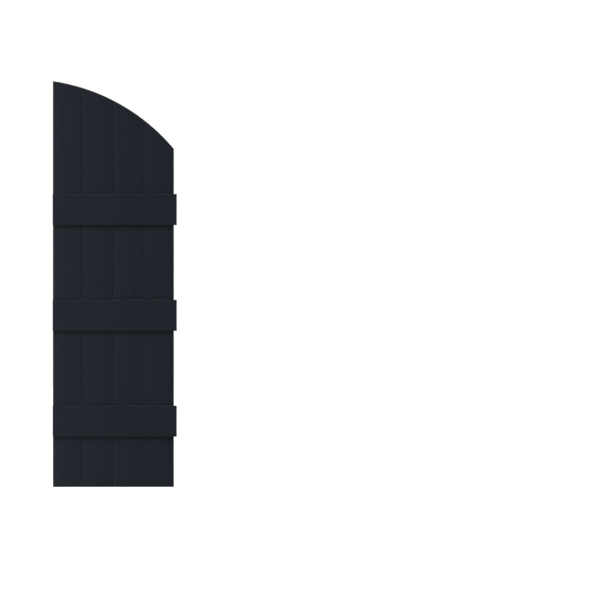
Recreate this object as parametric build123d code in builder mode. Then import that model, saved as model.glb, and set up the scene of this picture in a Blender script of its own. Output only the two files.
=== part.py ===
"""Board and batten shutter: a fixed decorative panel with a quarter-arch top.

Four open-backed moulded planks stand side by side and are held by three open-backed battens,
each screwed on from behind. The panel's face looks along -Y and its rims lie on the wall plane,
Y = 0. Z is up and +X is the side next to the window. The origin is on the wall plane, at the
middle of the panel's foot. All sizes are in millimetres.
"""

import os
from math import ceil, hypot, sqrt

from build123d import *

# Whole panel
width = 355.6
height = 1194.0
arch_rise = 199.0
arch_radius = 574.5

# Planks: the face of the outer one and of the inner one, with two equal ones between them
outer_face = 84.7
inner_face = 88.9
plank_depth = 15.9
plank_skin = 2.6
plank_wall = 2.6
panel_round = 3.5
side_seam_chamfer = 0.25
middle_seam_chamfer = 0.5

# Ribs inside the planks
rib = 2.0
rib_setback = 2.4
rib_bay = 95.0
rib_to_arch = 14.0

# Tabs that key one plank into the next
tab_length = 30.0
tab_thickness = 2.0
tab_reach = 1.8
tab_clearance = 0.3

# Battens
batten_height = 91.5
batten_depth = 9.5
batten_skin = 2.5
batten_wall = 2.5
batten_overhang = 9.0
batten_round = 1.2
batten_rib_setback = 1.0
foot_to_batten = 194.0
batten_to_short_top = 179.2

# Screws, their pads on the planks and their bosses in the battens
screw_radius = 2.1
screw_bite = 6.0
screw_point = 1.2
screw_spread = 48.0
head_radius = 4.0
head_height = 2.6
head_round = 1.2
slot_length = 4.8
slot_width = 1.0
slot_depth = 1.4
pad_radius = 6.5
pad_height = 1.5
boss_radius = 4.8
hole_clearance = 0.3
pilot_clearance = 0.05
tip_clearance = 0.5

# Centre of the arch's circle, from its two ends and its radius
arch_chord = hypot(width, arch_rise)
arch_drop = sqrt(arch_radius**2 - (arch_chord / 2) ** 2)
arch_x = -arch_rise / arch_chord * arch_drop
arch_z = height - arch_rise / 2 - width / arch_chord * arch_drop

# Seams between planks, from the outer edge to the inner one
middle_face = (width - outer_face - inner_face) / 2
outer_edge = -width / 2
inner_edge = width / 2
seams = [outer_edge + outer_face + middle_face * n for n in range(3)]
seam_chamfers = dict(zip(seams, (side_seam_chamfer, middle_seam_chamfer, side_seam_chamfer)))
plank_spans = list(zip([outer_edge, *seams], [*seams, inner_edge]))

# Battens are evenly spaced between the lowest and the highest
lowest = foot_to_batten
highest = height - arch_rise - batten_to_short_top
batten_levels = {
    "bottom_batten": lowest,
    "middle_batten": (lowest + highest) / 2,
    "top_batten": highest,
}

back_plane = Plane.XZ
face_plane = Plane.XZ.offset(plank_depth)
pad_plane = Plane.XZ.offset(plank_depth - plank_skin - pad_height)


def arch_height(x, inset=0.0):
    """Height of the arch at x, or of the line that runs inset inside it."""
    return arch_z + sqrt((arch_radius - inset) ** 2 - (x - arch_x) ** 2)


def trace_plank(left, right, inset=0.0):
    """Draw a plank's foot, its two edges and its stretch of the arch, all drawn in by inset."""
    a = left + inset
    b = right - inset
    middle = (a + b) / 2
    top_a = (a, arch_height(a, inset))
    top_b = (b, arch_height(b, inset))
    Polyline(top_a, (a, inset), (b, inset), top_b)
    ThreePointArc(top_b, (middle, arch_height(middle, inset)), top_a)


def front_edges(piece):
    """The edges round a piece's front face."""
    return piece.faces().sort_by(Axis.Y)[0].edges()


def cross_rib_levels():
    """Even bays between the foot and each batten's edges, then equal bays up into the arch."""
    stops = [0.0]
    for level in batten_levels.values():
        stops += [level - batten_height / 2, level + batten_height / 2]
    levels = [0.0]
    for low, high in zip(stops, stops[1:]):
        bays = ceil((high - low) / rib_bay)
        levels += [low + (high - low) * n / bays for n in range(1, bays + 1)]
    while levels[-1] + rib_bay < height:
        levels.append(levels[-1] + rib_bay)
    return levels


def tab_levels(seam):
    """Heights of the tabs on a seam: the middle of each bay that lies whole under the arch."""
    levels = cross_rib_levels()
    middles = [(low + high) / 2 for low, high in zip(levels, levels[1:])]
    return [z for z in middles if z + tab_length < arch_height(seam, plank_wall)]


def screw_points(level):
    """Two screws to a plank, set corner to corner about the batten's centre line."""
    points = []
    for left, right in plank_spans:
        middle = (left + right) / 2
        quarter = (right - left) / 4
        points.append((middle - quarter, level + screw_spread / 2))
        points.append((middle + quarter, level - screw_spread / 2))
    return points


all_screws = [point for level in batten_levels.values() for point in screw_points(level)]


def make_plank(label, left, right):
    """An open-backed plank with its web, cross ribs, screw pads, tabs and tab slots."""
    has_left = left > outer_edge
    has_right = right < inner_edge
    first_seam = 0 if has_left else 1
    last_seam = 2 if has_right else 1
    middle = (left + right) / 2
    ribs = [z for z in cross_rib_levels()[1:] if z + rib_to_arch < arch_height(right, plank_wall)]
    screws = [(x, z) for x, z in all_screws if left < x < right]

    with BuildPart() as plank:
        with BuildSketch(back_plane):
            with BuildLine():
                trace_plank(left, right)
            make_face()
        extrude(amount=plank_depth)
        if has_left:
            side = front_edges(plank).filter_by(Axis.Z).sort_by(Axis.X)[0]
            chamfer(side, seam_chamfers[left])
        if has_right:
            side = front_edges(plank).filter_by(Axis.Z).sort_by(Axis.X)[-1]
            chamfer(side, seam_chamfers[right])
        sides = front_edges(plank).filter_by(Axis.Z).sort_by(Axis.X)
        ends = front_edges(plank).filter_by(Axis.Z, reverse=True)
        fillet([*ends, *sides[:first_seam], *sides[last_seam:]], panel_round)

        with BuildSketch(back_plane):
            with BuildLine():
                trace_plank(left, right, plank_wall)
            make_face()
        extrude(amount=rib_setback, mode=Mode.SUBTRACT)

        with BuildSketch(back_plane):
            with BuildLine():
                trace_plank(left, right, plank_wall)
            make_face()
            with Locations((middle, height / 2)):
                Rectangle(rib, 2 * height, mode=Mode.SUBTRACT)
            with Locations([(middle, z) for z in ribs]):
                Rectangle(right - left, rib, mode=Mode.SUBTRACT)
        extrude(amount=plank_depth - plank_skin, mode=Mode.SUBTRACT)

        with BuildSketch(pad_plane):
            with Locations(screws):
                Circle(pad_radius)
        extrude(amount=pad_height)
        with BuildSketch(pad_plane):
            with Locations(screws):
                Circle(screw_radius + hole_clearance)
        extrude(amount=pad_height + plank_skin, mode=Mode.SUBTRACT)

        if has_right:
            reach = 1.5 * plank_wall + tab_reach
            start = right - plank_wall / 2
            with Locations([(start, -plank_depth / 2, z) for z in tab_levels(right)]):
                Box(reach, tab_thickness, tab_length, align=(Align.MIN, Align.CENTER, Align.CENTER))
        if has_left:
            play = 2 * tab_clearance
            middle_of_wall = left + plank_wall / 2
            with Locations([(middle_of_wall, -plank_depth / 2, z) for z in tab_levels(left)]):
                Box(2 * plank_wall, tab_thickness + play, tab_length + play, mode=Mode.SUBTRACT)

    plank.part.label = label
    export_step(plank.part, f"parts/{label}.step")


def make_batten(label, level):
    """An open-backed cover that lies across the planks' faces, with its ribs and screw bosses."""
    left = outer_edge
    right = inner_edge + batten_overhang
    middle = (left + right) / 2
    pocket_length = right - left - 2 * batten_wall
    pocket_height = batten_height - 2 * batten_wall
    pocket_depth = batten_depth - batten_skin
    screws = screw_points(level)

    with BuildPart() as batten:
        with BuildSketch(face_plane):
            with Locations((middle, level)):
                Rectangle(right - left, batten_height)
        extrude(amount=batten_depth)
        fillet(front_edges(batten), batten_round)

        with BuildSketch(face_plane):
            with Locations((middle, level)):
                Rectangle(pocket_length, pocket_height)
        extrude(amount=batten_rib_setback, mode=Mode.SUBTRACT)

        with BuildSketch(face_plane):
            with Locations((middle, level)):
                Rectangle(pocket_length, pocket_height)
                Rectangle(pocket_length, rib, mode=Mode.SUBTRACT)
            with Locations([(x, level) for x in [*seams, inner_edge]]):
                Rectangle(rib, pocket_height, mode=Mode.SUBTRACT)
        extrude(amount=pocket_depth, mode=Mode.SUBTRACT)

        with BuildSketch(face_plane):
            with Locations(screws):
                Circle(boss_radius)
        extrude(amount=pocket_depth)
        with BuildSketch(face_plane):
            with Locations(screws):
                Circle(screw_radius + pilot_clearance)
        extrude(amount=screw_bite + tip_clearance, mode=Mode.SUBTRACT)

    batten.part.label = label
    export_step(batten.part, f"parts/{label}.step")


def make_screws(label, level):
    """One batten's pan-head screws, put in from behind through the pads into the bosses."""
    points = screw_points(level)

    with BuildPart() as screws:
        with BuildSketch(pad_plane):
            with Locations(points):
                Circle(screw_radius)
        extrude(amount=pad_height + plank_skin + screw_bite)
        chamfer(screws.faces().group_by(Axis.Y)[0].edges(), screw_point)

        with BuildSketch(pad_plane):
            with Locations(points):
                Circle(head_radius)
        extrude(amount=-head_height)
        fillet(screws.faces().group_by(Axis.Y)[-1].edges(), head_round)

        with BuildSketch(pad_plane.offset(-head_height)):
            with Locations(points):
                Rectangle(slot_length, slot_width)
                Rectangle(slot_width, slot_length)
        extrude(amount=slot_depth, mode=Mode.SUBTRACT)

    screws.part.label = label
    export_step(screws.part, f"parts/{label}.step")


os.makedirs("parts", exist_ok=True)

plank_names = ["outer_board", "second_board", "third_board", "inner_board"]
for name, (left, right) in zip(plank_names, plank_spans):
    make_plank(name, left, right)

for name, level in batten_levels.items():
    make_batten(name, level)
    make_screws(name + "_screws", level)
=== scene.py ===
import math

import bmesh
import bpy
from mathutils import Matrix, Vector


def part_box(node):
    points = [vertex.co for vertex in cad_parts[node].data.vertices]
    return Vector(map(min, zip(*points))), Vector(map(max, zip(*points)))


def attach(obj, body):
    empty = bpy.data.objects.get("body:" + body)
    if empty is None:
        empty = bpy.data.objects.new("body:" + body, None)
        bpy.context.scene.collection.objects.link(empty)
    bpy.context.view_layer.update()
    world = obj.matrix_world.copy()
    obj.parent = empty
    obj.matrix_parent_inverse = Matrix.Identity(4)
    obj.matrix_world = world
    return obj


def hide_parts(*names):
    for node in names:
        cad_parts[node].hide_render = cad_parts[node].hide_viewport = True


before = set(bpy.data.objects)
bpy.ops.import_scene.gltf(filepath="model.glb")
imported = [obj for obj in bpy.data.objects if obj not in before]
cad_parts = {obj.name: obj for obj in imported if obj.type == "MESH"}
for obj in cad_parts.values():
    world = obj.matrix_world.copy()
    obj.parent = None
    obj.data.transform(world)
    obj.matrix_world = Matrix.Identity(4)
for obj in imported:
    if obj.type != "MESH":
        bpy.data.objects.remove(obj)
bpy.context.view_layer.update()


# ---------------------------------------------------------------------------------------------
# View and studio. A long lens looks straight at the panel's face from far away, with the panel
# left of the middle, as it hangs beside a window. Broad daylight falls on it from above, and a
# tall lamp stands close on its outer side. A pale floor lies well below, as a wall holds it.

SENSOR_WIDTH = 36.0
SIGHT_WIDTH = 1.7664
SIGHT_CENTRE = (0.549, 0.550)
SIGHT_DISTANCE = 12.0
FARTHEST_SEEN = 100.0

camera_data = bpy.data.cameras.new("camera")
camera_data.sensor_width = SENSOR_WIDTH
camera_data.lens = SENSOR_WIDTH * SIGHT_DISTANCE / SIGHT_WIDTH
camera_data.clip_end = FARTHEST_SEEN
camera = bpy.data.objects.new("camera", camera_data)
camera.location = (SIGHT_CENTRE[0], -SIGHT_DISTANCE, SIGHT_CENTRE[1])
camera.rotation_euler = (math.pi / 2, 0.0, 0.0)
bpy.context.scene.collection.objects.link(camera)
bpy.context.scene.camera = camera
bpy.context.scene.view_settings.view_transform = "Standard"


def hang_lamp(data, place, aim):
    """Put a lamp at place, facing aim, where the camera doesn't see the lamp itself."""
    lamp = bpy.data.objects.new(data.name, data)
    lamp.location = place
    lamp.rotation_euler = (Vector(aim) - Vector(place)).to_track_quat("-Z", "Y").to_euler()
    lamp.visible_camera = False
    bpy.context.scene.collection.objects.link(lamp)


DAYLIGHT_STRENGTH = 1.08
DAYLIGHT_SPREAD = math.radians(27)
DAYLIGHT_PLACE = (-0.4, -3.0, 4.6)
DAYLIGHT_AIM = (0.0, 0.0, 0.6)

daylight = bpy.data.lights.new("daylight", "SUN")
daylight.energy = DAYLIGHT_STRENGTH
daylight.angle = DAYLIGHT_SPREAD
hang_lamp(daylight, DAYLIGHT_PLACE, DAYLIGHT_AIM)

LAMP_POWER = 26.0
LAMP_WIDTH = 0.3
LAMP_LENGTH = 5.0
LAMP_PLACE = (-1.2, -1.25, 0.25)
LAMP_AIM = (0.0, 0.0, 0.25)

side_lamp = bpy.data.lights.new("side_lamp", "AREA")
side_lamp.shape = "RECTANGLE"
side_lamp.size = LAMP_WIDTH
side_lamp.size_y = LAMP_LENGTH
side_lamp.energy = LAMP_POWER
hang_lamp(side_lamp, LAMP_PLACE, LAMP_AIM)

# The room's own light is dim in front of the panel, a little brighter towards its outer side and
# overhead. Behind it is a white backdrop, which lights its hollow back and its side walls.

ROOM_LIGHT = 0.185
ROOM_SLOPE = (-0.11, 0.0, 0.01)
BACKDROP_LIGHT = 1.0
BACKDROP_STARTS = 0.4
BACKDROP_WHOLE = 0.9
BACKDROP_SEEN = 1.02
BACKWARDS = (0.0, 1.0, 0.0)
WHITE = (1.0, 1.0, 1.0, 1.0)

world = bpy.data.worlds.new("studio")
bpy.context.scene.world = world
world.use_nodes = True
sky = world.node_tree
sky.nodes.clear()


def sky_node(kind, inputs=(), **settings):
    """Add a node to the studio's light, set it up and feed its sockets."""
    made = sky.nodes.new(kind)
    for key, value in settings.items():
        setattr(made, key, value)
    for key, value in dict(inputs).items():
        if isinstance(value, bpy.types.NodeSocket):
            sky.links.new(value, made.inputs[key])
        else:
            made.inputs[key].default_value = value
    return made


look = sky_node("ShaderNodeTexCoord").outputs["Generated"]
slope = sky_node(
    "ShaderNodeVectorMath", {0: look, 1: ROOM_SLOPE}, operation="DOT_PRODUCT"
).outputs["Value"]
behind = sky_node(
    "ShaderNodeVectorMath", {0: look, 1: BACKWARDS}, operation="DOT_PRODUCT"
).outputs["Value"]
backdrop = sky_node(
    "ShaderNodeMapRange",
    {
        "Value": behind,
        "From Min": BACKDROP_STARTS,
        "From Max": BACKDROP_WHOLE,
        "To Min": ROOM_LIGHT,
        "To Max": BACKDROP_LIGHT,
    },
    interpolation_type="SMOOTHSTEP",
).outputs["Result"]
level = sky_node("ShaderNodeMath", {0: slope, 1: backdrop}, operation="ADD").outputs["Value"]
fill = sky_node("ShaderNodeBackground", {"Color": WHITE, "Strength": level})
seen = sky_node("ShaderNodeBackground", {"Color": WHITE, "Strength": BACKDROP_SEEN})
eye = sky_node("ShaderNodeLightPath").outputs["Is Camera Ray"]
studio_light = sky_node(
    "ShaderNodeMixShader", {0: eye, 1: fill.outputs["Background"], 2: seen.outputs["Background"]}
)
sky_node("ShaderNodeOutputWorld", {"Surface": studio_light.outputs["Shader"]})

FLOOR_DROP = 0.35
FLOOR_SPAN = 60.0
FLOOR_GREY = (0.86, 0.86, 0.86, 1.0)
FLOOR_ROUGHNESS = 0.9
FLOOR_GLOW = 0.68

floor_mesh = bpy.data.meshes.new("floor")
bm = bmesh.new()
bmesh.ops.create_grid(bm, x_segments=1, y_segments=1, size=FLOOR_SPAN / 2)
bmesh.ops.translate(bm, verts=bm.verts, vec=(0.0, 0.0, -FLOOR_DROP))
bm.to_mesh(floor_mesh)
bm.free()
floor = bpy.data.objects.new("floor", floor_mesh)
bpy.context.scene.collection.objects.link(floor)
floor_paint = bpy.data.materials.new("floor_paint")
floor_paint.use_nodes = True
paint = floor_paint.node_tree.nodes["Principled BSDF"]
paint.inputs["Base Color"].default_value = FLOOR_GREY
paint.inputs["Roughness"].default_value = FLOOR_ROUGHNESS
paint.inputs["Specular IOR Level"].default_value = 0.0
paint.inputs["Emission Color"].default_value = WHITE
paint.inputs["Emission Strength"].default_value = FLOOR_GLOW
floor.data.materials.append(floor_paint)
floor.visible_diffuse = False
floor.visible_glossy = False
floor.visible_shadow = False


# ---------------------------------------------------------------------------------------------
# Planks. Each is one open-backed moulding of blue-black vinyl, coloured all through, with a web,
# ribs and screw pads behind its face. The face is slightly crowned across the plank and carries a
# shallow moulded grain that runs up it. Tabs on one plank key into slots in the next.

VINYL_DARK = (0.0119, 0.0161, 0.0240)
VINYL_LIGHT = (0.0141, 0.0189, 0.0278)
VINYL_SPECULAR = 0.3
VINYL_ROUGHNESS = 0.28
GRAIN_DEPTH = 0.0004
PORE_HEIGHT = 0.35
PEBBLE_HEIGHT = 0.05
UPRIGHT_PORES = (900.0, 900.0, 30.0)
UPRIGHT_FIGURE = (160.0, 160.0, 4.0)


class Socket:
    """One output of a shader node. Sums written on it add the nodes that work them out."""

    def __init__(self, tree, link):
        self.tree = tree
        self.link = link

    def node(self, kind, inputs=(), output=0, **settings):
        """Add a node, set it up, feed its sockets and return one of its outputs."""
        made = self.tree.nodes.new(kind)
        for key, value in settings.items():
            setattr(made, key, value)
        for key, value in dict(inputs).items():
            if isinstance(value, Socket):
                self.tree.links.new(value.link, made.inputs[key])
            else:
                made.inputs[key].default_value = value
        return Socket(self.tree, made.outputs[output])

    def sum(self, operation, a, b):
        return self.node("ShaderNodeMath", {0: a, 1: b}, operation=operation)

    def __add__(self, other):
        return self.sum("ADD", self, other)

    def __mul__(self, other):
        return self.sum("MULTIPLY", self, other)

    __radd__ = __add__
    __rmul__ = __mul__


def blank_material(name, **constants):
    """A new material, its shader with the constants set, and its object coordinates."""
    material = bpy.data.materials.new(name)
    material.use_nodes = True
    tree = material.node_tree
    shader = tree.nodes["Principled BSDF"]
    for key, value in constants.items():
        shader.inputs[key.replace("_", " ")].default_value = value
    place = Socket(tree, tree.nodes.new("ShaderNodeTexCoord").outputs["Object"])
    return material, shader, place


def connect(shader, **values):
    """Feed the shader's sockets, named with underscores for spaces."""
    for key, value in values.items():
        value.tree.links.new(value.link, shader.inputs[key.replace("_", " ")])


def blend_colours(share, dark, light):
    """A colour that goes from dark to light as the share goes from 0 to 1."""
    ends = {0: share, 6: (*dark, 1.0), 7: (*light, 1.0)}
    return share.node("ShaderNodeMix", ends, output=2, data_type="RGBA")


def vinyl(name, pore_rate, figure_rate):
    """Moulded vinyl, with so many pores and bands of figure to the metre along each axis."""
    material, shader, place = blank_material(name, Specular_IOR_Level=VINYL_SPECULAR)
    drift = place.node("ShaderNodeTexNoise", {"Vector": place, "Scale": 7.0, "Detail": 2.0})
    lie = place.node("ShaderNodeMapping", {"Vector": place, "Scale": figure_rate})
    figure = place.node(
        "ShaderNodeTexNoise", {"Vector": lie, "Scale": 1.0, "Detail": 5.0, "Distortion": 0.8}
    )
    fine = place.node("ShaderNodeMapping", {"Vector": place, "Scale": pore_rate})
    pores = place.node("ShaderNodeTexNoise", {"Vector": fine, "Scale": 1.0, "Detail": 3.0})
    pebble = place.node("ShaderNodeTexNoise", {"Vector": place, "Scale": 1400.0, "Detail": 1.0})
    colour = blend_colours(drift * 0.5 + figure * 0.5, VINYL_DARK, VINYL_LIGHT)
    height = figure + pores * PORE_HEIGHT + pebble * PEBBLE_HEIGHT
    bump = place.node(
        "ShaderNodeBump", {"Strength": 1.0, "Distance": GRAIN_DEPTH, "Height": height}
    )
    rough = VINYL_ROUGHNESS + drift * 0.05 + figure * 0.12 + pores * 0.04
    connect(shader, Base_Color=colour, Roughness=rough, Normal=bump)
    return material


board_vinyl = vinyl("board_vinyl", UPRIGHT_PORES, UPRIGHT_FIGURE)

CROWN = 0.0010
CROWN_STRIPS = 14
CROWN_DEPTH = 0.0036
MOULD_ROUND = 0.0004
ROUNDED_CORNER = math.radians(40)
SHADED_CORNER = math.radians(30)
FLAT_ENOUGH = math.radians(0.2)
SAME_PLACE = 1e-6
ON_THE_CUT = 1e-7


def merged_copy(node):
    """A part's mesh as one closed skin of whole flat faces."""
    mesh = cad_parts[node].data.copy()
    mesh.attributes.remove(mesh.attributes["custom_normal"])
    bm = bmesh.new()
    bm.from_mesh(mesh)
    bpy.data.meshes.remove(mesh)
    bmesh.ops.remove_doubles(bm, verts=bm.verts, dist=SAME_PLACE)
    bmesh.ops.dissolve_limit(bm, angle_limit=FLAT_ENOUGH, verts=bm.verts, edges=bm.edges)
    return bm


def front_part(bm, depth):
    """The faces that reach in front of a depth, with their edges and corners."""
    faces = [f for f in bm.faces if min(v.co.y for v in f.verts) < depth]
    return list({item for f in faces for item in (f, *f.edges, *f.verts)})


def crown_face(bm, low, high):
    """Cut the face into upright strips and set them back towards the plank's two edges."""
    middle = (low.x + high.x) / 2
    half = (high.x - low.x) / 2
    for n in range(1, CROWN_STRIPS):
        bmesh.ops.bisect_plane(
            bm,
            geom=front_part(bm, low.y + CROWN_DEPTH),
            dist=ON_THE_CUT,
            plane_co=(low.x + 2 * half * n / CROWN_STRIPS, 0.0, 0.0),
            plane_no=(1.0, 0.0, 0.0),
        )
    for vert in bm.verts:
        if vert.co.y < low.y + CROWN_DEPTH:
            vert.co.y += CROWN * min(1.0, abs(vert.co.x - middle) / half) ** 2


def soften_hollow(bm, depth):
    """Round the sharp edges behind a depth, as a mould leaves them."""
    edges = [e for e in bm.edges if min(v.co.y for v in e.verts) > depth]
    sharp = [e for e in edges if len(e.link_faces) == 2 and e.calc_face_angle() > ROUNDED_CORNER]
    bmesh.ops.bevel(
        bm,
        geom=sharp,
        offset=MOULD_ROUND,
        offset_type="OFFSET",
        segments=2,
        profile=0.5,
        affect="EDGES",
        material=-1,
        clamp_overlap=True,
    )


for plank in ("outer_board", "second_board", "third_board", "inner_board"):
    low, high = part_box(plank)
    bm = merged_copy(plank)
    crown_face(bm, low, high)
    soften_hollow(bm, low.y + CROWN_DEPTH + CROWN)
    mesh = bpy.data.meshes.new(plank + "_moulding")
    bm.to_mesh(mesh)
    bm.free()
    mesh.materials.clear()
    mesh.materials.append(board_vinyl)
    mesh.shade_smooth()
    mesh.set_sharp_from_angle(angle=SHADED_CORNER)
    moulding = bpy.data.objects.new(plank + "_moulding", mesh)
    bpy.context.scene.collection.objects.link(moulding)
    even = moulding.modifiers.new("even_shading", "WEIGHTED_NORMAL")
    even.keep_sharp = True
    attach(moulding, "root")
    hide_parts(plank)


# ---------------------------------------------------------------------------------------------
# Battens. Each is one open-backed moulding of the same vinyl, with ribs and screw bosses inside
# and its grain along it. It lies across the planks' faces and runs on past the inner plank.

LENGTHWISE_PORES = (30.0, 900.0, 900.0)
LENGTHWISE_FIGURE = (4.0, 160.0, 160.0)
batten_vinyl = vinyl("batten_vinyl", LENGTHWISE_PORES, LENGTHWISE_FIGURE)

BATTENS = ("bottom_batten", "middle_batten", "top_batten")
for batten in BATTENS:
    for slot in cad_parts[batten].material_slots:
        slot.material = batten_vinyl


# ---------------------------------------------------------------------------------------------
# Screws. Eight pan-head screws to a batten, of zinc-plated steel with a cross slot. They come
# through the planks' pads from behind and bite into the batten's bosses.

ZINC_DULL = (0.42, 0.44, 0.47)
ZINC_BRIGHT = (0.66, 0.66, 0.64)
ZINC_ROUGHNESS = 0.28
SPECK_DEPTH = 0.00005

zinc, zinc_shader, place = blank_material("zinc_plated_steel", Metallic=1.0)
bloom = place.node("ShaderNodeTexNoise", {"Vector": place, "Scale": 350.0, "Detail": 3.0})
speck = place.node("ShaderNodeTexNoise", {"Vector": place, "Scale": 2500.0, "Detail": 1.0})
plating = blend_colours(bloom, ZINC_DULL, ZINC_BRIGHT)
dimple = place.node("ShaderNodeBump", {"Strength": 0.3, "Distance": SPECK_DEPTH, "Height": speck})
connect(zinc_shader, Base_Color=plating, Roughness=ZINC_ROUGHNESS + bloom * 0.22, Normal=dimple)
for batten in BATTENS:
    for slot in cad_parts[batten + "_screws"].material_slots:
        slot.material = zinc
